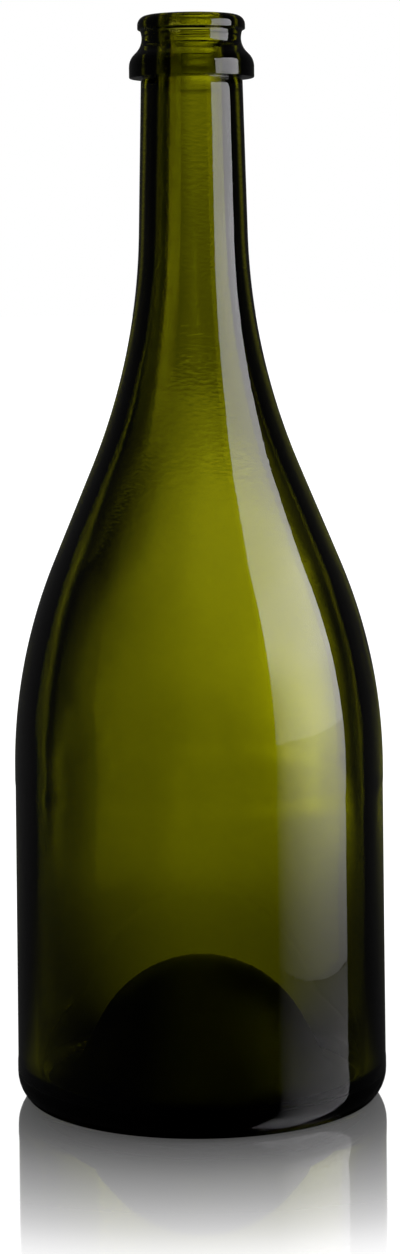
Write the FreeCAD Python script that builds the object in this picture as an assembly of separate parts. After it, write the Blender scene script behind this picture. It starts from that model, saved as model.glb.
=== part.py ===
"""An open, empty sparkling-wine bottle: one piece of blown glass, turned about Z.

The bottle stands on z = 0 on a narrow flat ring, with its axis on Z and its mouth up.
One half section is drawn in the XZ plane, outside and inside, and turned once round Z.
All sizes are in millimetres, and angles are in degrees.
"""
import FreeCAD, Part
import math
import os

# Overall sizes
HEIGHT = 284.8
BODY_DIAMETER = 97.3

# Mouth: a round bead for the closure, a waist, and a collar that the wire cage grips
BEAD_DIAMETER = 28.6
BEAD_HEIGHT = 3.85
BEAD_TOP_ROUND = 2.55
WAIST_INSET = 1.125              # from the bead's side in to the waist
WAIST_DEPTH = 6.0                # below the top of the bottle
WAIST_ARC = 5.4
COLLAR_DIAMETER = 33.2
COLLAR_ARC = 4.65                # the collar's upper corner
COLLAR_BAND_HEIGHT = 2.65        # the collar's upright band
GROOVE_DIAMETER = 26.2
GROOVE_HEIGHT = 0.8
EDGE_ROUND = 0.4                 # the small corners of the bead and the collar
BORE_DIAMETER = 17.5
BORE_LENGTH = 9.0                # straight bore below the top
LIP_ROUND = 1.3                  # the bore's top corner
LEAST_LIP_FLAT = 0.3             # left level between the bead's round and the lip's

# Neck and shoulder, outside
NECK_DIAMETER = 27.0             # just under the collar's groove
NECK_LENGTH = 40.4               # from the groove to the foot of the straight neck
NECK_TAPER = 1.34                # half angle
NECK_ARC = 170.3
SHOULDER_SLOPE = 22.6            # the steepest part, from upright
SHOULDER_ARC = 139.7

# Body and heel, outside
LABEL_RECESS = 0.1               # the panel lies this deep between its two contact bands
RECESS_RAMP = 1.5
UPPER_BAND_HEIGHT = 3.5
LOWER_BAND_HEIGHT = 2.5
HEEL_ARC = 8.9
BEARING_INSET = 4.55             # from the body wall in to the flat ring it stands on
BEARING_WIDTH = 1.6
BEARING_ROUND = 3.0

# Inside
BODY_WALL = 5.2
NECK_BORE_TAPER = 1.6            # half angle, so that the bore opens downwards
BASE_THICKNESS = 5.4             # under the moat round the punt
INNER_HEEL_ROUND = 4.0
PUNT_TOP_THICKNESS = 11.0

# Punt: the hollow that the base is pushed up into, as a dome on a cone with a flared foot
# The dome's and the flare's radii are shares of the foot's distance from the axis.
PUNT_HEIGHT = 25.0
PUNT_DOME = 0.447
PUNT_FLARE = 0.518
INNER_PUNT_DOME = 0.776
INNER_PUNT_FLARE = 0.203


def point(radius, height):
    return FreeCAD.Vector(radius, 0, height)


def line(start, end):
    return Part.LineSegment(start, end).toShape()


def arc(centre, radius, start_angle, end_angle):
    """An arc from one angle to another. 0 points away from the axis and 90 points up."""
    def on_arc(angle):
        turn = math.radians(angle)
        return centre + point(radius * math.cos(turn), radius * math.sin(turn))
    middle = (start_angle + end_angle) / 2
    return Part.Arc(on_arc(start_angle), on_arc(middle), on_arc(end_angle)).toShape()


def start_of(edge):
    return edge.valueAt(edge.FirstParameter)


def end_of(edge):
    return edge.valueAt(edge.LastParameter)


def shoulder_and_neck(body_radius, shoulder_arc, neck_arc, taper, neck_radius, neck_foot, neck_top):
    """The side from the top of the body up to the top of the neck.

    A convex arc, a straight cone, a concave arc and a tapered neck, each tangent to the next.
    The cone is as long as the step from body to neck needs, so the top of the body,
    start_of(first edge), comes out of the neck's place and the radii. Where the two arcs
    alone would fill that step, the slope is a little less, which leaves a short cone.
    """
    neck_slope = math.radians(taper)
    foot_radius = neck_radius + (neck_top - neck_foot) * math.tan(neck_slope)
    step = body_radius - foot_radius
    steepest = math.acos(1 - step / (shoulder_arc + neck_arc))
    slope = min(math.radians(SHOULDER_SLOPE), 0.98 * steepest)
    neck_centre = point(foot_radius + neck_arc * math.cos(neck_slope),
                        neck_foot + neck_arc * math.sin(neck_slope))
    cone_top = neck_centre - point(neck_arc * math.cos(slope), neck_arc * math.sin(slope))
    cone_foot_radius = body_radius - shoulder_arc * (1 - math.cos(slope))
    cone_drop = (cone_foot_radius - cone_top.x) / math.tan(slope)
    cone_foot = point(cone_foot_radius, cone_top.z - cone_drop)
    shoulder_centre = cone_foot - point(shoulder_arc * math.cos(slope), shoulder_arc * math.sin(slope))
    return [
        arc(shoulder_centre, shoulder_arc, 0, math.degrees(slope)),
        line(cone_foot, cone_top),
        arc(neck_centre, neck_arc, 180 + math.degrees(slope), 180 + taper),
        line(point(foot_radius, neck_foot), point(neck_radius, neck_top)),
    ]


def punt(apex, foot, dome_share, flare_share):
    """One face of the punt, from the axis out to its level foot.

    A dome about the axis, then a cone that is tangent both to it and to the flared foot.
    """
    dome = dome_share * foot.x
    flare = flare_share * foot.x
    dome_centre = point(0, apex - dome)
    flare_centre = foot + point(0, flare)
    across = flare_centre - dome_centre
    slope = math.atan2(across.x, across.z) - math.acos((dome + flare) / across.Length)
    angle = math.degrees(slope)
    dome_edge = dome_centre + point(dome * math.sin(slope), dome * math.cos(slope))
    flare_edge = flare_centre - point(flare * math.sin(slope), flare * math.cos(slope))
    return [
        arc(dome_centre, dome, 90, 90 - angle),
        line(dome_edge, flare_edge),
        arc(flare_centre, flare, 270 - angle, 270),
    ]


def waist_radius():
    return BEAD_DIAMETER / 2 - WAIST_INSET


def lip_round():
    """The bore's top corner, smaller where the wall of the mouth leaves less room."""
    wall = (BEAD_DIAMETER - BORE_DIAMETER) / 2
    return min(LIP_ROUND, wall - BEAD_TOP_ROUND - LEAST_LIP_FLAT)


def bearing_radius():
    """Outer edge of the flat ring that the bottle stands on."""
    return BODY_DIAMETER / 2 - BEARING_INSET


def collar_bottom():
    """Height of the collar's underside: the waist and the collar's arc set it."""
    across = (waist_radius() + WAIST_ARC) - (COLLAR_DIAMETER / 2 - COLLAR_ARC)
    drop = math.sqrt((WAIST_ARC + COLLAR_ARC) ** 2 - across ** 2)
    return HEIGHT - WAIST_DEPTH - drop - COLLAR_BAND_HEIGHT - EDGE_ROUND


def heel():
    """The flat ring's outer corner and the heel, up to the body wall."""
    ring_centre = point(bearing_radius(), BEARING_ROUND)
    heel_radius = BODY_DIAMETER / 2 - HEEL_ARC
    inset = ring_centre.x - heel_radius
    rise = math.sqrt((HEEL_ARC - BEARING_ROUND) ** 2 - inset ** 2)
    heel_centre = point(heel_radius, BEARING_ROUND + rise)
    meet = -math.degrees(math.atan2(rise, inset))
    return [
        arc(ring_centre, BEARING_ROUND, -90, meet),
        arc(heel_centre, HEEL_ARC, meet, 0),
    ]


def label_panel(bottom, top):
    """The body wall: a lower band, the shallow label panel and an upper band."""
    body_radius = BODY_DIAMETER / 2
    panel_radius = body_radius - LABEL_RECESS
    corners = [
        bottom,
        point(body_radius, bottom.z + LOWER_BAND_HEIGHT),
        point(panel_radius, bottom.z + LOWER_BAND_HEIGHT + RECESS_RAMP),
        point(panel_radius, top.z - UPPER_BAND_HEIGHT - RECESS_RAMP),
        point(body_radius, top.z - UPPER_BAND_HEIGHT),
        top,
    ]
    return [line(a, b) for a, b in zip(corners, corners[1:])]


def mouth(neck_end):
    """The groove, collar, waist, bead and lip, from the top of the neck into the bore."""
    underside = collar_bottom()
    groove_radius = GROOVE_DIAMETER / 2
    collar_radius = COLLAR_DIAMETER / 2
    bead_radius = BEAD_DIAMETER / 2
    bore_radius = BORE_DIAMETER / 2
    waist_centre = point(waist_radius() + WAIST_ARC, HEIGHT - WAIST_DEPTH)
    collar_centre = point(collar_radius - COLLAR_ARC, underside + EDGE_ROUND + COLLAR_BAND_HEIGHT)
    between = waist_centre - collar_centre
    lean = math.degrees(math.atan2(between.z, between.x))
    bead_bottom = HEIGHT - BEAD_HEIGHT
    rise = bead_bottom - waist_centre.z
    waist_end = 180 - math.degrees(math.asin(rise / WAIST_ARC))
    waist_top = waist_centre.x - math.sqrt(WAIST_ARC ** 2 - rise ** 2)
    groove = [
        line(neck_end, point(groove_radius, neck_end.z + GROOVE_HEIGHT / 2)),
        line(point(groove_radius, neck_end.z + GROOVE_HEIGHT / 2), point(groove_radius, underside)),
    ]
    collar = [
        line(point(groove_radius, underside), point(collar_radius - EDGE_ROUND, underside)),
        arc(point(collar_radius - EDGE_ROUND, underside + EDGE_ROUND), EDGE_ROUND, -90, 0),
        line(point(collar_radius, underside + EDGE_ROUND), point(collar_radius, collar_centre.z)),
        arc(collar_centre, COLLAR_ARC, 0, lean),
        arc(waist_centre, WAIST_ARC, 180 + lean, waist_end),
    ]
    bead = [
        line(point(waist_top, bead_bottom), point(bead_radius - EDGE_ROUND, bead_bottom)),
        arc(point(bead_radius - EDGE_ROUND, bead_bottom + EDGE_ROUND), EDGE_ROUND, -90, 0),
        line(point(bead_radius, bead_bottom + EDGE_ROUND), point(bead_radius, HEIGHT - BEAD_TOP_ROUND)),
        arc(point(bead_radius - BEAD_TOP_ROUND, HEIGHT - BEAD_TOP_ROUND), BEAD_TOP_ROUND, 0, 90),
        line(point(bead_radius - BEAD_TOP_ROUND, HEIGHT), point(bore_radius + lip_round(), HEIGHT)),
    ]
    lip_centre = point(bore_radius + lip_round(), HEIGHT - lip_round())
    lip = [arc(lip_centre, lip_round(), 90, 180)]
    return groove + collar + bead + lip


def outside():
    neck_top = collar_bottom() - GROOVE_HEIGHT
    side = shoulder_and_neck(
        body_radius=BODY_DIAMETER / 2,
        shoulder_arc=SHOULDER_ARC,
        neck_arc=NECK_ARC,
        taper=NECK_TAPER,
        neck_radius=NECK_DIAMETER / 2,
        neck_foot=neck_top - NECK_LENGTH,
        neck_top=neck_top,
    )
    foot = heel()
    wall = label_panel(end_of(foot[-1]), start_of(side[0]))
    return foot + wall + side + mouth(end_of(side[-1]))


def inside():
    """The inner face: the punt, its moat, the body, the shoulder and the neck's bore."""
    body_radius = BODY_DIAMETER / 2 - BODY_WALL
    moat = point(body_radius - INNER_HEEL_ROUND, BASE_THICKNESS)
    heel_centre = moat + point(0, INNER_HEEL_ROUND)
    side = shoulder_and_neck(
        body_radius=body_radius,
        shoulder_arc=SHOULDER_ARC - BODY_WALL,
        neck_arc=NECK_ARC + BODY_WALL,
        taper=NECK_BORE_TAPER,
        neck_radius=BORE_DIAMETER / 2,
        neck_foot=collar_bottom() - GROOVE_HEIGHT - NECK_LENGTH,
        neck_top=HEIGHT - BORE_LENGTH,
    )
    apex = PUNT_HEIGHT + PUNT_TOP_THICKNESS
    base = punt(apex, moat, INNER_PUNT_DOME, INNER_PUNT_FLARE)
    inner_heel = arc(heel_centre, INNER_HEEL_ROUND, -90, 0)
    wall = line(end_of(inner_heel), start_of(side[0]))
    bore = line(end_of(side[-1]), point(BORE_DIAMETER / 2, HEIGHT - lip_round()))
    return base + [inner_heel, wall] + side + [bore]


def underside():
    """The hollow under the punt and the flat ring that the bottle stands on."""
    ring_outer = point(bearing_radius(), 0)
    ring_inner = ring_outer - point(BEARING_WIDTH, 0)
    hollow = punt(PUNT_HEIGHT, ring_inner, PUNT_DOME, PUNT_FLARE)
    return hollow + [line(ring_inner, ring_outer)]


def bottle():
    outer, inner, under = outside(), inside(), underside()
    axis = line(start_of(inner[0]), start_of(under[0]))
    section = Part.Face(Part.Wire(Part.__sortEdges__(outer + inner + under + [axis])))
    return section.revolve(point(0, 0), FreeCAD.Vector(0, 0, 1), 360)


os.makedirs("parts", exist_ok=True)
bottle().exportStep("parts/bottle.step")
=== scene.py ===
"""An empty sparkling-wine bottle of green glass, on a white floor that mirrors its foot.

The glass is one closed mesh, turned about Z from a half section, as the frame's solid is.
Lengths are in metres, angles in degrees, and places are (distance from the axis, height).
"""
import math

import bpy
import numpy as np
from mathutils import Euler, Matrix, Quaternion, Vector, noise


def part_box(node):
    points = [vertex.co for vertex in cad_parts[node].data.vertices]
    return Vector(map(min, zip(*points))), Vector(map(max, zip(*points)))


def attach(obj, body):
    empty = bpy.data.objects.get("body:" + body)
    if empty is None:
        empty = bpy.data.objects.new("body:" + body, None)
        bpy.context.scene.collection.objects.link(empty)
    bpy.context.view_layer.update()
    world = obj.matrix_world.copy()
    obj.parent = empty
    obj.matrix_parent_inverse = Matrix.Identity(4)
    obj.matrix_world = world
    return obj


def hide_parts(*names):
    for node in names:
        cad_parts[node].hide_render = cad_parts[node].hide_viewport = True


MM = 0.001
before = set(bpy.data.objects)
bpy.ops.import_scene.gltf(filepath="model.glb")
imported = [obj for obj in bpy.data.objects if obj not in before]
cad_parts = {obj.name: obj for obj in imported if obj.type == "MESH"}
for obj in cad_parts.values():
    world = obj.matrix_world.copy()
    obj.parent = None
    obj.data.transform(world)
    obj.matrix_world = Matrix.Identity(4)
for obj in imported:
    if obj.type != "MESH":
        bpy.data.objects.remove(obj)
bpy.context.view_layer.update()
LOW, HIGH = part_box("bottle")

# ---- Sizes of the glass ---------------------------------------------------------------
HEIGHT = HIGH.z - LOW.z
BODY_RADIUS = min(HIGH.x, -LOW.x, HIGH.y, -LOW.y)

# The mouth: a bead, a waist and a collar
BEAD_RADIUS = 14.3 * MM
BEAD_HEIGHT = 3.85 * MM
BEAD_TOP_ROUND = 2.55 * MM
WAIST_RADIUS = 13.175 * MM
WAIST_DEPTH = 6.0 * MM
WAIST_ARC = 5.4 * MM
COLLAR_RADIUS = 16.6 * MM
COLLAR_ARC = 4.65 * MM
COLLAR_BAND = 2.65 * MM
GROOVE_RADIUS = 13.1 * MM
GROOVE_HEIGHT = 0.8 * MM
EDGE_ROUND = 0.4 * MM
BORE_RADIUS = 8.75 * MM
BORE_LENGTH = 9.0 * MM
LIP_ROUND = 1.3 * MM

# The neck and the shoulder
NECK_RADIUS = 13.5 * MM
NECK_LENGTH = 40.4 * MM
NECK_TAPER = 1.34
NECK_BORE_TAPER = 1.6
NECK_ARC = 170.3 * MM
SHOULDER_SLOPE = 22.6
SHOULDER_ARC = 139.7 * MM

# The body, the heel and the base
BODY_WALL = 5.2 * MM
LABEL_RECESS = 0.1 * MM
RECESS_RAMP = 1.5 * MM
UPPER_BAND = 3.5 * MM
LOWER_BAND = 2.5 * MM
HEEL_ARC = 8.9 * MM
BEARING_RADIUS = 44.1 * MM
BEARING_WIDTH = 1.6 * MM
BEARING_ROUND = 3.0 * MM
BASE_THICKNESS = 5.4 * MM
INNER_HEEL_ROUND = 4.0 * MM

# The punt
PUNT_HEIGHT = 25.0 * MM
PUNT_DOME = 19.0 * MM
PUNT_FLARE = 22.0 * MM
INNER_PUNT_HEIGHT = 36.0 * MM
INNER_PUNT_DOME = 30.6 * MM
INNER_PUNT_FLARE = 8.0 * MM

# The inner wall is uneven, but for its foot and the end of the neck, where the waves fade
WAVE_DEPTH = 0.16 * MM
WAVE_WIDTH = 22.0 * MM
WAVE_HEIGHT = 34.0 * MM
WAVE_FOOT = 45.0 * MM
WAVE_FOOT_FADE = 30.0 * MM
WAVE_TOP_FADE = 40.0 * MM
WAVE_OFFSET = 3.7               # which part of the noise is used
FINE_WAVE_SHARE = 0.5
FINE_WAVE_SCALE = 2.1

# The mesh
SECTORS = 192
ARC_STEP = 1.5 * MM
LINE_STEP = 3.0 * MM


# ---- The half section -----------------------------------------------------------------
def arc(centre, radius, start, end):
    """Points from one angle to the other. 0 points away from the axis and 90 points up."""
    length = abs(math.radians(end - start)) * radius
    pieces = max(math.ceil(length / ARC_STEP), math.ceil(abs(end - start) / 10), 2)
    angles = np.radians(np.linspace(start, end, pieces + 1))
    return np.column_stack(
        [centre[0] + radius * np.cos(angles), centre[1] + radius * np.sin(angles)]
    )


def line(start, end):
    pieces = max(math.ceil(math.dist(start, end) / LINE_STEP), 1)
    return np.linspace(start, end, pieces + 1)


def chain(*runs):
    """The runs joined end to end, with the shared points kept once."""
    joined = [runs[0][0]]
    for run in runs:
        joined += [p for p in run if math.dist(p, joined[-1]) > 1e-6]
    return np.array(joined)


def side(body_radius, shoulder_arc, neck_arc, taper, neck_radius, neck_foot, neck_top):
    """From the top of the body to the top of the neck: arc, cone, arc and tapered neck."""
    slope, tilt = math.radians(SHOULDER_SLOPE), math.radians(taper)
    foot_radius = neck_radius + (neck_top - neck_foot) * math.tan(tilt)
    neck_centre = (foot_radius + neck_arc * math.cos(tilt), neck_foot + neck_arc * math.sin(tilt))
    cone_top = (
        neck_centre[0] - neck_arc * math.cos(slope),
        neck_centre[1] - neck_arc * math.sin(slope),
    )
    cone_foot_radius = body_radius - shoulder_arc * (1 - math.cos(slope))
    cone_foot_height = cone_top[1] - (cone_foot_radius - cone_top[0]) / math.tan(slope)
    shoulder_centre = (
        body_radius - shoulder_arc,
        cone_foot_height - shoulder_arc * math.sin(slope),
    )
    return chain(
        arc(shoulder_centre, shoulder_arc, 0, SHOULDER_SLOPE),
        line((cone_foot_radius, cone_foot_height), cone_top),
        arc(neck_centre, neck_arc, 180 + SHOULDER_SLOPE, 180 + taper),
        line((foot_radius, neck_foot), (neck_radius, neck_top)),
    )


def punt(apex, dome, foot, flare):
    """From the axis out to a level foot: a dome, a tangent cone and a flare."""
    dome_height = apex - dome
    across, up = foot[0], foot[1] + flare - dome_height
    slope = math.atan2(across, up) - math.acos((dome + flare) / math.hypot(across, up))
    angle = math.degrees(slope)
    top = arc((0, dome_height), dome, 90, 90 - angle)
    bottom = arc((foot[0], foot[1] + flare), flare, 270 - angle, 270)
    return chain(top, line(top[-1], bottom[0]), bottom)


COLLAR_ACROSS = (WAIST_RADIUS + WAIST_ARC) - (COLLAR_RADIUS - COLLAR_ARC)
COLLAR_DROP = math.sqrt((WAIST_ARC + COLLAR_ARC) ** 2 - COLLAR_ACROSS**2)
COLLAR_TOP = HEIGHT - WAIST_DEPTH - COLLAR_DROP
COLLAR_BOTTOM = COLLAR_TOP - COLLAR_BAND - EDGE_ROUND
NECK_TOP = COLLAR_BOTTOM - GROOVE_HEIGHT
NECK_FOOT = NECK_TOP - NECK_LENGTH


def mouth():
    """The groove, collar, waist, bead and lip, from the neck's top into the bore."""
    lean = math.degrees(math.atan2(COLLAR_DROP, COLLAR_ACROSS))
    waist_centre = (WAIST_RADIUS + WAIST_ARC, HEIGHT - WAIST_DEPTH)
    bead_bottom = HEIGHT - BEAD_HEIGHT
    rise = bead_bottom - waist_centre[1]
    waist_end = 180 - math.degrees(math.asin(rise / WAIST_ARC))
    waist = arc(waist_centre, WAIST_ARC, 180 + lean, waist_end)
    edge = (COLLAR_RADIUS - EDGE_ROUND, COLLAR_BOTTOM + EDGE_ROUND)
    bead_edge = (BEAD_RADIUS - EDGE_ROUND, bead_bottom + EDGE_ROUND)
    bead_top = (BEAD_RADIUS - BEAD_TOP_ROUND, HEIGHT - BEAD_TOP_ROUND)
    lip_centre = (BORE_RADIUS + LIP_ROUND, HEIGHT - LIP_ROUND)
    return chain(
        line((NECK_RADIUS, NECK_TOP), (GROOVE_RADIUS, NECK_TOP + GROOVE_HEIGHT / 2)),
        line((GROOVE_RADIUS, NECK_TOP + GROOVE_HEIGHT / 2), (GROOVE_RADIUS, COLLAR_BOTTOM)),
        line((GROOVE_RADIUS, COLLAR_BOTTOM), (edge[0], COLLAR_BOTTOM)),
        arc(edge, EDGE_ROUND, -90, 0),
        line((COLLAR_RADIUS, edge[1]), (COLLAR_RADIUS, COLLAR_TOP)),
        arc((COLLAR_RADIUS - COLLAR_ARC, COLLAR_TOP), COLLAR_ARC, 0, lean),
        waist,
        line(waist[-1], (bead_edge[0], bead_bottom)),
        arc(bead_edge, EDGE_ROUND, -90, 0),
        line((BEAD_RADIUS, bead_edge[1]), (BEAD_RADIUS, bead_top[1])),
        arc(bead_top, BEAD_TOP_ROUND, 0, 90),
        line((bead_top[0], HEIGHT), (lip_centre[0], HEIGHT)),
        arc(lip_centre, LIP_ROUND, 90, 180),
    )


def outside():
    """From the ring that the bottle stands on, up the outside and over the lip."""
    ring = (BEARING_RADIUS, BEARING_ROUND)
    heel_radius = BODY_RADIUS - HEEL_ARC
    inset = ring[0] - heel_radius
    rise = math.sqrt((HEEL_ARC - BEARING_ROUND) ** 2 - inset**2)
    heel_top = BEARING_ROUND + rise
    meet = -math.degrees(math.atan2(rise, inset))
    upper = side(
        BODY_RADIUS, SHOULDER_ARC, NECK_ARC, NECK_TAPER, NECK_RADIUS, NECK_FOOT, NECK_TOP
    )
    body_top = upper[0][1]
    panel_radius = BODY_RADIUS - LABEL_RECESS
    panel_foot = heel_top + LOWER_BAND
    panel_top = body_top - UPPER_BAND
    return chain(
        arc(ring, BEARING_ROUND, -90, meet),
        arc((heel_radius, heel_top), HEEL_ARC, meet, 0),
        line((BODY_RADIUS, heel_top), (BODY_RADIUS, panel_foot)),
        line((BODY_RADIUS, panel_foot), (panel_radius, panel_foot + RECESS_RAMP)),
        line((panel_radius, panel_foot + RECESS_RAMP), (panel_radius, panel_top - RECESS_RAMP)),
        line((panel_radius, panel_top - RECESS_RAMP), (BODY_RADIUS, panel_top)),
        line((BODY_RADIUS, panel_top), (BODY_RADIUS, body_top)),
        upper,
        mouth(),
    )


def inside():
    """From the top of the punt, out over the moat, and up the inner wall to the lip."""
    inner_radius = BODY_RADIUS - BODY_WALL
    moat = (inner_radius - INNER_HEEL_ROUND, BASE_THICKNESS)
    upper = side(
        inner_radius, SHOULDER_ARC - BODY_WALL, NECK_ARC + BODY_WALL, NECK_BORE_TAPER,
        BORE_RADIUS, NECK_FOOT, HEIGHT - BORE_LENGTH,
    )
    heel_centre = (moat[0], moat[1] + INNER_HEEL_ROUND)
    return chain(
        punt(INNER_PUNT_HEIGHT, INNER_PUNT_DOME, moat, INNER_PUNT_FLARE),
        arc(heel_centre, INNER_HEEL_ROUND, -90, 0),
        line((inner_radius, heel_centre[1]), upper[0]),
        upper,
        line(upper[-1], (BORE_RADIUS, HEIGHT - LIP_ROUND)),
    )


def underside():
    """From the top of the hollow under the punt out to the ring's outer edge."""
    ring_inner = (BEARING_RADIUS - BEARING_WIDTH, 0)
    return chain(
        punt(PUNT_HEIGHT, PUNT_DOME, ring_inner, PUNT_FLARE),
        line(ring_inner, (BEARING_RADIUS, 0)),
    )


# ---- The glass ------------------------------------------------------------------------
def share(value):
    return min(max(value, 0), 1)


def wave(x, y, z):
    """How far the inner wall stands out at a place: slowly uneven, as blown glass is."""
    fade = share((z - WAVE_FOOT) / WAVE_FOOT_FADE) * share((NECK_TOP - z) / WAVE_TOP_FADE)
    place = Vector((x / WAVE_WIDTH, y / WAVE_WIDTH, z / WAVE_HEIGHT + WAVE_OFFSET))
    fine = FINE_WAVE_SHARE * noise.noise(place * FINE_WAVE_SCALE)
    return WAVE_DEPTH * fade * (noise.noise(place) + fine)


def turned(name, section, inner_rings):
    """A closed solid from a half section whose two ends lie on the axis.

    The first inner_rings rings are the inner wall, which is uneven.
    """
    rings = section[1:-1]
    turn = np.linspace(0, 2 * math.pi, SECTORS, endpoint=False)
    around = np.column_stack([np.cos(turn), np.sin(turn)])
    verts = []
    for index, (r, z) in enumerate(rings):
        for c, s in around:
            reach = r + (wave(r * c, r * s, z) if index < inner_rings else 0)
            verts.append((reach * c, reach * s, z))
    first, last = len(verts), len(verts) + 1
    verts += [(0, 0, section[0][1]), (0, 0, section[-1][1])]
    faces = []
    for k in range(SECTORS):
        nxt = (k + 1) % SECTORS
        faces.append((first, k, nxt))
        for ring in range(len(rings) - 1):
            a, b = ring * SECTORS, (ring + 1) * SECTORS
            faces.append((a + k, b + k, b + nxt, a + nxt))
        end = (len(rings) - 1) * SECTORS
        faces.append((last, end + nxt, end + k))
    mesh = bpy.data.meshes.new(name)
    mesh.from_pydata(verts, [], faces)
    mesh.shade_smooth()
    mesh.validate()
    glass = bpy.data.objects.new(name, mesh)
    bpy.context.scene.collection.objects.link(glass)
    return glass


# ---- Shader helpers -------------------------------------------------------------------
def set_input(node, name, value):
    node.inputs[name].default_value = value


def curve_value(tree, value, points):
    """A Float Curve node: the value passes through the (position, value) points."""
    node = tree.nodes.new("ShaderNodeFloatCurve")
    node.mapping.extend = "HORIZONTAL"
    curve = node.mapping.curves[0]
    while len(curve.points) < len(points):
        curve.points.new(0.5, 0.5)
    for target, (x, y) in zip(curve.points, points):
        target.location = (x, y)
        target.handle_type = "AUTO_CLAMPED"
    node.mapping.update()
    tree.links.new(value, node.inputs["Value"])
    return node.outputs["Value"]


def math_node(tree, operation, *values):
    node = tree.nodes.new("ShaderNodeMath")
    node.operation = operation
    for socket, value in zip(node.inputs, values):
        if isinstance(value, (int, float)):
            socket.default_value = value
        else:
            tree.links.new(value, socket)
    return node.outputs[0]


def texture_place(tree, kind):
    """The texture coordinates of one kind, and their X, Y and Z."""
    place = tree.nodes.new("ShaderNodeTexCoord").outputs[kind]
    split = tree.nodes.new("ShaderNodeSeparateXYZ")
    tree.links.new(place, split.inputs[0])
    return place, split.outputs["X"], split.outputs["Y"], split.outputs["Z"]


def light_path(tree):
    return tree.nodes.new("ShaderNodeLightPath").outputs


def new_material(name):
    """A material with nothing but its output node."""
    material = bpy.data.materials.new(name)
    material.use_nodes = True
    tree = material.node_tree
    tree.nodes.clear()
    return material, tree, tree.nodes.new("ShaderNodeOutputMaterial")


# ---- Green glass ----------------------------------------------------------------------
GLASS_IOR = 1.52
GLASS_COLOUR = (0.764, 0.766, 0.01, 1)
GLASS_DENSITY = 640.0

# The glass of the punt is matt, and its colour is darkened as painted shade: inside this radius
# and below this height
PUNT_GLASS_RADIUS = 41.0 * MM
PUNT_GLASS_HEIGHT = INNER_PUNT_HEIGHT + 1.0 * MM
PUNT_ROUGHNESS = 0.45
PUNT_PAINTED_SHADE_TINT = (0.15, 0.15, 0.12, 1)

# The fine ripple of the surface, wider than it is high, grows up the shoulder
RIPPLE_SCALE = 420.0
RIPPLE_FLATTENING = 2.6
RIPPLE_DEPTH = 0.02 * MM
RIPPLE_FOOT = 110.0 * MM
RIPPLE_RISE = 60.0 * MM
LEAST_RIPPLE = 0.12


def punt_matt_and_painted_shade_share(tree, x, y, z):
    """1 in the glass of the punt, which is matt and darkened as painted shade, and 0 elsewhere.
    """
    square = math_node(
        tree, "ADD", math_node(tree, "POWER", x, 2.0), math_node(tree, "POWER", y, 2.0)
    )
    inner = math_node(tree, "LESS_THAN", math_node(tree, "SQRT", square), PUNT_GLASS_RADIUS)
    low = math_node(tree, "LESS_THAN", z, PUNT_GLASS_HEIGHT)
    return math_node(tree, "MULTIPLY", inner, low)


def rippled_normal(tree, place, z):
    """A bump from noise that is drawn out sideways. Its strength goes by the height."""
    stretch = tree.nodes.new("ShaderNodeVectorMath")
    stretch.operation = "MULTIPLY"
    stretch.inputs[1].default_value = (1.0, 1.0, RIPPLE_FLATTENING)
    tree.links.new(place, stretch.inputs[0])
    grain = tree.nodes.new("ShaderNodeTexNoise")
    set_input(grain, "Scale", RIPPLE_SCALE)
    set_input(grain, "Detail", 1.0)
    tree.links.new(stretch.outputs[0], grain.inputs["Vector"])
    height = math_node(tree, "DIVIDE", math_node(tree, "SUBTRACT", z, RIPPLE_FOOT), RIPPLE_RISE)
    strength = math_node(tree, "MINIMUM", math_node(tree, "MAXIMUM", height, LEAST_RIPPLE), 1.0)
    bump = tree.nodes.new("ShaderNodeBump")
    set_input(bump, "Distance", RIPPLE_DEPTH)
    tree.links.new(strength, bump.inputs["Strength"])
    tree.links.new(grain.outputs["Fac"], bump.inputs["Height"])
    return bump.outputs[0]


def green_glass():
    material, tree, out = new_material("green_glass")
    place, x, y, z = texture_place(tree, "Object")
    glass = tree.nodes.new("ShaderNodeBsdfPrincipled")
    set_input(glass, "IOR", GLASS_IOR)
    set_input(glass, "Transmission Weight", 1.0)
    punt_matt_and_painted_shade = punt_matt_and_painted_shade_share(tree, x, y, z)
    tree.links.new(
        math_node(tree, "MULTIPLY", punt_matt_and_painted_shade, PUNT_ROUGHNESS), glass.inputs["Roughness"]
    )
    # painted shade: the punt's glass is darkened so that it shows black
    painted_punt_shade = tree.nodes.new("ShaderNodeMix")
    painted_punt_shade.data_type = "RGBA"
    painted_punt_shade.inputs[6].default_value = (1, 1, 1, 1)
    painted_punt_shade.inputs[7].default_value = PUNT_PAINTED_SHADE_TINT
    tree.links.new(punt_matt_and_painted_shade, painted_punt_shade.inputs[0])
    tree.links.new(painted_punt_shade.outputs[2], glass.inputs["Base Color"])
    tree.links.new(rippled_normal(tree, place, z), glass.inputs["Normal"])
    absorb = tree.nodes.new("ShaderNodeVolumeAbsorption")
    set_input(absorb, "Color", GLASS_COLOUR)
    set_input(absorb, "Density", GLASS_DENSITY)
    tree.links.new(glass.outputs["BSDF"], out.inputs["Surface"])
    tree.links.new(absorb.outputs["Volume"], out.inputs["Volume"])
    return material


inner_wall = inside()
section = chain(inner_wall, outside()[::-1], underside()[::-1])
# the wall's first point lies on the axis, and its last is on the lip
bottle = turned("bottle_glass", section, len(inner_wall) - 2)
bottle.data.materials.append(green_glass())
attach(bottle, "root")
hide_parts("bottle")


# ---- Camera ---------------------------------------------------------------------------
CAMERA_PLACE = (0, -0.79046, 0.21344)
CAMERA_LENS = 85.69                # in millimetres, as the sensor's width is
SENSOR_WIDTH = 36.0
CAMERA_SHIFT = (0.0049, -0.2727)
CAMERA_ROLL = -0.0107              # in radians


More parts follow.
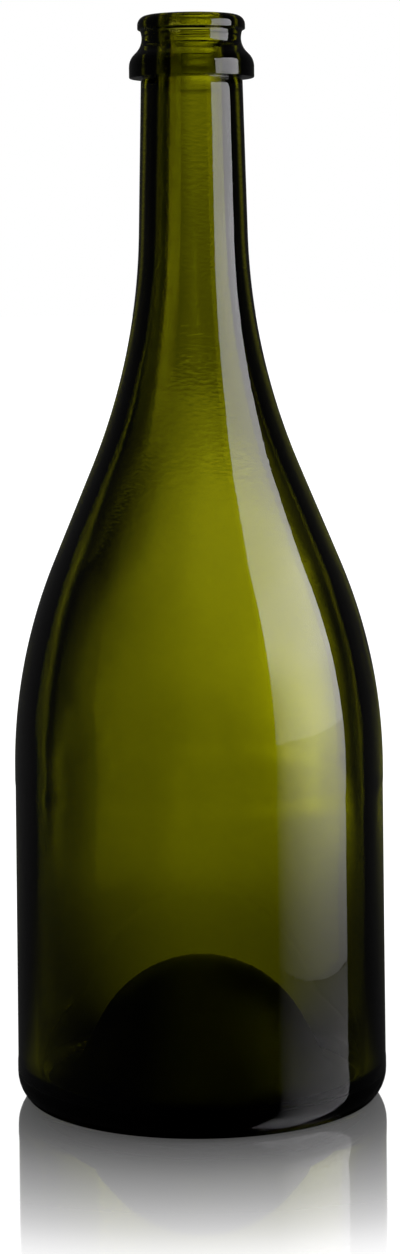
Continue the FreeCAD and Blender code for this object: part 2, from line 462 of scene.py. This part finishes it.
def make_camera():
    """A level camera, shifted down to the bottle, so that its uprights stay upright."""
    data = bpy.data.cameras.new("camera")
    data.lens = CAMERA_LENS
    data.sensor_width = SENSOR_WIDTH
    data.shift_x, data.shift_y = CAMERA_SHIFT
    data.clip_start = 0.01
    camera = bpy.data.objects.new("camera", data)
    camera.location = CAMERA_PLACE
    level = Euler((math.radians(90), 0, 0)).to_quaternion()
    camera.rotation_euler = (level @ Quaternion((0, 0, 1), CAMERA_ROLL)).to_euler()
    bpy.context.scene.collection.objects.link(camera)
    bpy.context.scene.camera = camera


make_camera()
bpy.context.scene.view_settings.view_transform = "Standard"


# ---- The studio, as the glass shows it ------------------------------------------------
# Four soft panels stand round the bottle, so that each side has one behind it.
PANEL_AZIMUTH = 4.0         # to the right of straight behind the bottle
PANEL_HALF_WIDTH = 12.0
PANEL_POWER = 2.4           # the higher, the firmer the panel's sides
PANEL_TOP = 25.0
BRIGHTNESS_BY_CLIMB = [(0, 0.22), (0.07, 0.3), (0.22, 0.5), (0.5, 0.5), (1, 0.0)]
SURROUNDINGS = 0.04         # the dark studio beside the panels
DARK_SWING = 0.42           # it is dimmest in front of the bottle,
DARK_LEAN = -0.08           # and dimmer to the right than to the left
FILL_LIGHT = 0.5            # what matt surfaces get from all round


def fall_off(tree, value, middle, half_width, power):
    """exp(-(|value - middle| / half_width) ** power)."""
    off = math_node(tree, "ABSOLUTE", math_node(tree, "SUBTRACT", value, middle))
    ratio = math_node(tree, "POWER", math_node(tree, "DIVIDE", off, half_width), power)
    return math_node(tree, "EXPONENT", math_node(tree, "MULTIPLY", ratio, -1.0))


def nearest_panel(tree, x, y):
    """The azimuth in degrees, counted from the nearest of four, a quarter turn apart."""
    half_quarter = math.radians(45)
    azimuth = math_node(tree, "ARCTAN2", x, y)
    near = math_node(tree, "WRAP", azimuth, half_quarter, -half_quarter)
    return math_node(tree, "MULTIPLY", near, math.degrees(1))


def mirrored_ray(tree, path):
    """1 for light that a surface mirrors, and 0 for light that it lets through."""
    opaque = math_node(tree, "SUBTRACT", 1.0, path["Is Transmission Ray"])
    return math_node(tree, "MULTIPLY", path["Is Glossy Ray"], opaque)


def studio_light(tree, x, y, path, through, dark):
    """What glass shows of the studio: the panels through it, and the dark part mirrored."""
    azimuth = math_node(tree, "ARCTAN2", x, y)
    ahead = math_node(
        tree, "MULTIPLY_ADD", math_node(tree, "COSINE", azimuth), DARK_SWING, DARK_SWING
    )
    shade = math_node(tree, "MULTIPLY_ADD", math_node(tree, "SINE", azimuth), DARK_LEAN, ahead)
    dark = math_node(tree, "MULTIPLY", math_node(tree, "MAXIMUM", shade, 0.0), dark)
    seen = math_node(tree, "MULTIPLY", path["Is Transmission Ray"], through)
    return math_node(tree, "MULTIPLY_ADD", mirrored_ray(tree, path), dark, seen)


def make_world():
    world = bpy.data.worlds.new("studio")
    bpy.context.scene.world = world
    world.use_nodes = True
    tree = world.node_tree
    tree.nodes.clear()
    path = light_path(tree)
    x, y, z = texture_place(tree, "Generated")[1:]
    elevation = math_node(tree, "ARCSINE", z)
    climb = math_node(tree, "DIVIDE", elevation, math.radians(PANEL_TOP))
    soft = fall_off(tree, nearest_panel(tree, x, y), PANEL_AZIMUTH, PANEL_HALF_WIDTH, PANEL_POWER)
    through = math_node(tree, "MULTIPLY", soft, curve_value(tree, climb, BRIGHTNESS_BY_CLIMB))
    light = math_node(
        tree, "ADD", path["Is Camera Ray"], studio_light(tree, x, y, path, through, SURROUNDINGS)
    )
    light = math_node(tree, "MULTIPLY_ADD", path["Is Diffuse Ray"], FILL_LIGHT, light)
    # what the floor mirrors has come through its clear sheet, and there the background is white
    first = math_node(tree, "LESS_THAN", path["Glossy Depth"], 1.5)
    past_sheet = math_node(tree, "GREATER_THAN", path["Transparent Depth"], 0.5)
    off_floor = math_node(tree, "MULTIPLY", first, past_sheet)
    light = math_node(
        tree, "ADD", math_node(tree, "MULTIPLY", off_floor, mirrored_ray(tree, path)), light
    )
    background = tree.nodes.new("ShaderNodeBackground")
    set_input(background, "Color", (1, 1, 1, 1))
    tree.links.new(light, background.inputs["Strength"])
    out = tree.nodes.new("ShaderNodeOutputWorld")
    tree.links.new(background.outputs[0], out.inputs["Surface"])


# ---- Floor ----------------------------------------------------------------------------
FLOOR_REACH = 20.0
SHEET_HEIGHT = -0.05 * MM
FLOOR_HEIGHT = -0.1 * MM

# Through the glass, the floor shows painted light: it goes by the distance from the axis, on a
# logarithmic scale that is 0 at the near distance and 1 at the far one. The painted patch of
# panel light widens and turns with distance.
NEAR = 0.05
FAR = 10.0
DECADES = math.log10(FAR / NEAR)
PAINTED_LIGHT_BY_DISTANCE = [
    (0, 0.0), (0.12, 0.2), (0.26, 0.23), (0.36, 0.47), (0.46, 0.6), (0.6, 0.93), (0.7, 0.9),
    (0.8, 0.57), (1, 0.22),
]
WIDEST = 25.0
WIDTH_BY_DISTANCE = [
    (0.18, 0.8), (0.29, 0.75), (0.45, 0.54), (0.6, 0.36), (0.74, 0.34), (0.9, 0.48),
]
MOST_TURNED = 10.0
TURN_BY_DISTANCE = [(0.45, 0.45), (0.6, 0.52), (0.76, 0.52), (0.85, 0.42)]

# A painted pool of brighter light lies beside the panel's foot
PAINTED_POOL_ASIDE = 0.105
PAINTED_POOL_HALF_WIDTH = 0.044
PAINTED_POOL_DISTANCE = 0.58
PAINTED_POOL_REACH = 0.07           # on the scale of distance
PAINTED_POOL_BRIGHTNESS = 1.15

# Mirrored, the floor has painted shade: a painted shadow, black under the bottle, and darker near
# it
PAINTED_SHADOW_RADIUS = 0.06
PAINTED_SHADE_BY_DISTANCE = [(0.25, 0.4), (0.42, 0.8), (0.5, 1.0)]
PAINTED_SHADE_LEVEL = 1.2 * SURROUNDINGS

# It mirrors the bottle to the camera, less and less away from it
MIRROR_REACH = 0.2
MIRROR_BY_DISTANCE = [
    (0, 0.97), (0.24, 0.93), (0.4, 0.8), (0.54, 0.61), (0.7, 0.28), (0.85, 0.1), (1, 0.0),
]
MIRROR_ROUGHNESS = 0.05
# To other rays it is a fainter mirror
FAINT_MIRROR_IOR = 2.2
FAINT_MIRROR_GAIN = 1.5

FLOOR_GLOW = 0.92           # to the camera the floor is as white as the background,
FLOOR_GREY = 0.6            # and a matt grey added to it takes the shadow


def plane(name, height, material):
    mesh = bpy.data.meshes.new(name)
    corners = [(-1, -1), (1, -1), (1, 1), (-1, 1)]
    verts = [(x * FLOOR_REACH, y * FLOOR_REACH, height) for x, y in corners]
    mesh.from_pydata(verts, [], [(0, 1, 2, 3)])
    mesh.materials.append(material)
    flat = bpy.data.objects.new(name, mesh)
    bpy.context.scene.collection.objects.link(flat)


def clear_sheet():
    material, tree, out = new_material("clear_sheet")
    clear = tree.nodes.new("ShaderNodeBsdfTransparent")
    tree.links.new(clear.outputs[0], out.inputs["Surface"])
    return material


def painted_panel_light(tree, around, along, distance):
    """Painted light on the floor, shaped as from the nearest panel, with its painted pool."""
    turn = curve_value(tree, along, TURN_BY_DISTANCE)
    width = curve_value(tree, along, WIDTH_BY_DISTANCE)
    soft = fall_off(
        tree, around, math_node(tree, "MULTIPLY", turn, MOST_TURNED),
        math_node(tree, "MULTIPLY", width, WIDEST), PANEL_POWER,
    )
    painted_lit = math_node(tree, "MULTIPLY", soft, curve_value(tree, along, PAINTED_LIGHT_BY_DISTANCE))
    sine = math_node(tree, "SINE", math_node(tree, "RADIANS", around))
    aside = math_node(tree, "MULTIPLY", sine, distance)
    painted_pool_along = math.log10(PAINTED_POOL_DISTANCE / NEAR) / DECADES
    painted_pool = math_node(
        tree, "MULTIPLY", fall_off(tree, aside, PAINTED_POOL_ASIDE, PAINTED_POOL_HALF_WIDTH, 2.0),
        fall_off(tree, along, painted_pool_along, PAINTED_POOL_REACH, 2.0),
    )
    return math_node(tree, "MULTIPLY_ADD", painted_pool, PAINTED_POOL_BRIGHTNESS, painted_lit)


def painted_floor_shade(tree, along, distance):
    """The painted shade of the floor where it is mirrored, with a painted shadow under the
    bottle.
    """
    outside_painted_shadow = math_node(tree, "GREATER_THAN", distance, PAINTED_SHADOW_RADIUS)
    dark = math_node(tree, "MULTIPLY", curve_value(tree, along, PAINTED_SHADE_BY_DISTANCE), PAINTED_SHADE_LEVEL)
    return math_node(tree, "MULTIPLY", outside_painted_shadow, dark)


def floor_mirror(tree, path, distance):
    """The share of each ray that the floor mirrors. What comes through glass, it doesn't."""
    fade = curve_value(
        tree, math_node(tree, "DIVIDE", distance, MIRROR_REACH), MIRROR_BY_DISTANCE
    )
    camera_share = math_node(tree, "MULTIPLY", fade, path["Is Camera Ray"])
    not_through = math_node(tree, "SUBTRACT", 1.0, path["Is Transmission Ray"])
    not_camera = math_node(tree, "SUBTRACT", 1.0, path["Is Camera Ray"])
    other_share = math_node(tree, "MULTIPLY", not_through, not_camera)
    fresnel = tree.nodes.new("ShaderNodeFresnel")
    set_input(fresnel, "IOR", FAINT_MIRROR_IOR)
    faint = math_node(tree, "MULTIPLY", fresnel.outputs[0], FAINT_MIRROR_GAIN)
    return math_node(tree, "MULTIPLY_ADD", other_share, faint, camera_share)


def floor_matt(tree, path, painted_light_and_shade):
    """The glow of the floor, white to the camera and painted light and shade to other rays, and
    its matt grey for the camera alone.
    """
    glow = tree.nodes.new("ShaderNodeEmission")
    tree.links.new(
        math_node(tree, "MULTIPLY_ADD", path["Is Camera Ray"], FLOOR_GLOW, painted_light_and_shade),
        glow.inputs["Strength"],
    )
    grey = tree.nodes.new("ShaderNodeBsdfDiffuse")
    set_input(grey, "Color", (FLOOR_GREY, FLOOR_GREY, FLOOR_GREY, 1))
    for_camera = tree.nodes.new("ShaderNodeMixShader")
    tree.links.new(path["Is Camera Ray"], for_camera.inputs[0])
    tree.links.new(grey.outputs[0], for_camera.inputs[2])
    both = tree.nodes.new("ShaderNodeAddShader")
    tree.links.new(glow.outputs[0], both.inputs[0])
    tree.links.new(for_camera.outputs[0], both.inputs[1])
    return both.outputs[0]


def white_floor():
    material, tree, out = new_material("white_floor")
    path = light_path(tree)
    place, x, y = texture_place(tree, "Object")[:3]
    length = tree.nodes.new("ShaderNodeVectorMath")
    length.operation = "LENGTH"
    tree.links.new(place, length.inputs[0])
    distance = length.outputs["Value"]
    decades = math_node(tree, "LOGARITHM", math_node(tree, "DIVIDE", distance, NEAR), 10.0)
    along = math_node(tree, "DIVIDE", decades, DECADES)
    # painted light on the floor for rays through the glass, and painted shade for mirrored rays
    through = painted_panel_light(tree, nearest_panel(tree, x, y), along, distance)
    painted_light_and_shade = studio_light(tree, x, y, path, through, painted_floor_shade(tree, along, distance))
    gloss = tree.nodes.new("ShaderNodeBsdfGlossy")
    set_input(gloss, "Color", (1, 1, 1, 1))
    set_input(gloss, "Roughness", MIRROR_ROUGHNESS)
    mix = tree.nodes.new("ShaderNodeMixShader")
    tree.links.new(floor_mirror(tree, path, distance), mix.inputs[0])
    tree.links.new(floor_matt(tree, path, painted_light_and_shade), mix.inputs[1])
    tree.links.new(gloss.outputs[0], mix.inputs[2])
    tree.links.new(mix.outputs[0], out.inputs["Surface"])
    return material


# ---- Softbox --------------------------------------------------------------------------
SOFTBOX_START = (0.158, -0.167)     # on the floor plan, the side nearer to the camera
SOFTBOX_END = (0.2155, 0.0095)
SOFTBOX_TOP = 0.385
SOFTBOX_RADIANCE = 5.2
SOFTBOX_COLOUR = (0.98, 0.96, 1.0)
BRIGHTNESS_BY_HEIGHT = [
    (0, 0.09), (0.06, 0.15), (0.15, 0.26), (0.25, 0.35), (0.35, 0.44), (0.44, 0.68),
    (0.54, 0.76), (0.7, 0.58), (1, 0.58),
]
# Across its width it is uneven at the foot and nearly even at the top
LOW_BY_WIDTH = [(0, 0.04), (0.3, 0.54), (0.6, 0.85), (1, 0.93)]
LOW_GAIN = 2.0
HIGH_START = 0.85
HIGH_RISE = 0.35
EVEN_BY_HEIGHT = [(0, 0.0), (0.27, 0.0), (0.55, 1.0), (1, 1.0)]


def softbox_strength(tree):
    split = tree.nodes.new("ShaderNodeSeparateXYZ")
    tree.links.new(tree.nodes.new("ShaderNodeNewGeometry").outputs["Parametric"], split.inputs[0])
    x, y = split.outputs["X"], split.outputs["Y"]
    low = math_node(tree, "MULTIPLY", curve_value(tree, x, LOW_BY_WIDTH), LOW_GAIN)
    high = math_node(tree, "MULTIPLY_ADD", x, HIGH_RISE, HIGH_START)
    even = curve_value(tree, y, EVEN_BY_HEIGHT)
    change = math_node(tree, "MULTIPLY", math_node(tree, "SUBTRACT", high, low), even)
    across = math_node(tree, "ADD", low, change)
    return math_node(tree, "MULTIPLY", curve_value(tree, y, BRIGHTNESS_BY_HEIGHT), across)


def make_softbox():
    """An upright area light that stands on the floor and faces the bottle."""
    start, end = Vector(SOFTBOX_START), Vector(SOFTBOX_END)
    light = bpy.data.lights.new("softbox", "AREA")
    light.shape = "RECTANGLE"
    light.size = (end - start).length
    light.size_y = SOFTBOX_TOP
    light.energy = math.pi * light.size * light.size_y * SOFTBOX_RADIANCE
    light.color = SOFTBOX_COLOUR
    light.use_nodes = True
    tree = light.node_tree
    tree.links.new(softbox_strength(tree), tree.nodes["Emission"].inputs["Strength"])
    lamp = bpy.data.objects.new("softbox", light)
    lamp.location = (*((start + end) / 2), SOFTBOX_TOP / 2)
    across = (end - start).normalized()
    facing = Vector((-across.y, across.x, 0))
    lamp.rotation_euler = facing.to_track_quat("-Z", "Y").to_euler()
    bpy.context.scene.collection.objects.link(lamp)


make_world()
plane("floor_sheet", SHEET_HEIGHT, clear_sheet())
plane("floor", FLOOR_HEIGHT, white_floor())
make_softbox()
